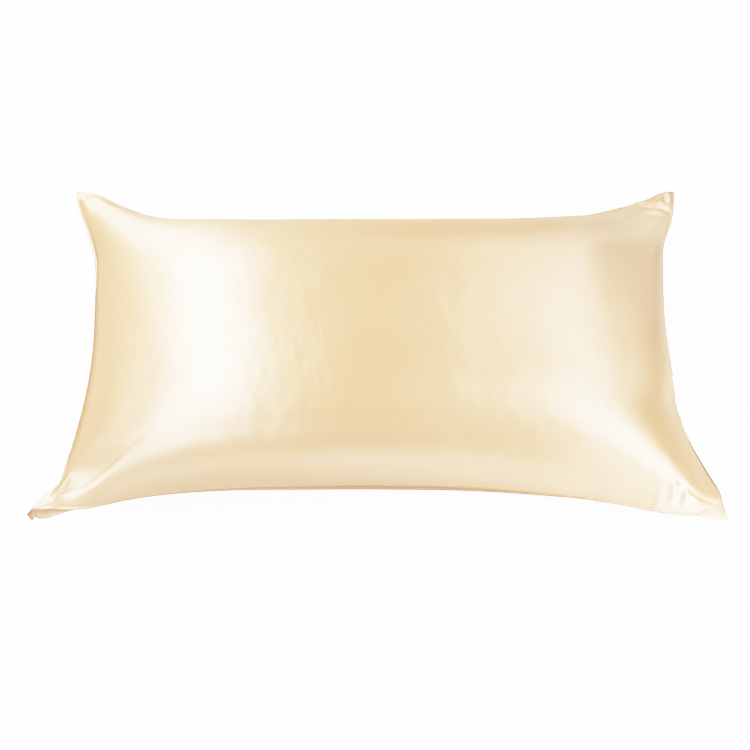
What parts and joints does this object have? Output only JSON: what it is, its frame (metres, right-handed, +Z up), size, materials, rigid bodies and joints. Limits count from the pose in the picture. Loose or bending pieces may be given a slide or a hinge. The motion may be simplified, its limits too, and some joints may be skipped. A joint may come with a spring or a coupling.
{
  "type": "pillowcase",
  "caption": "Filled king-size pillowcase in pale gold satin, lying on its back, with a crowned front, drawn-in sides, a seam all round and thin pointed ears.",
  "frame": {"origin": "on the surface that the case lies on, under the middle of its bounding box", "axes": "+X along the case's length, +Y across it, +Z up through the crowned front panel"},
  "size_m": [0.8924, 0.4972, 0.2032],
  "materials": {
    "satin": "glossy pale gold satin weave with a soft, broad sheen across the cloth's length"
  },
  "bodies": {
    "root": {"pillowcase": "satin"}
  },
  "joints": []
}
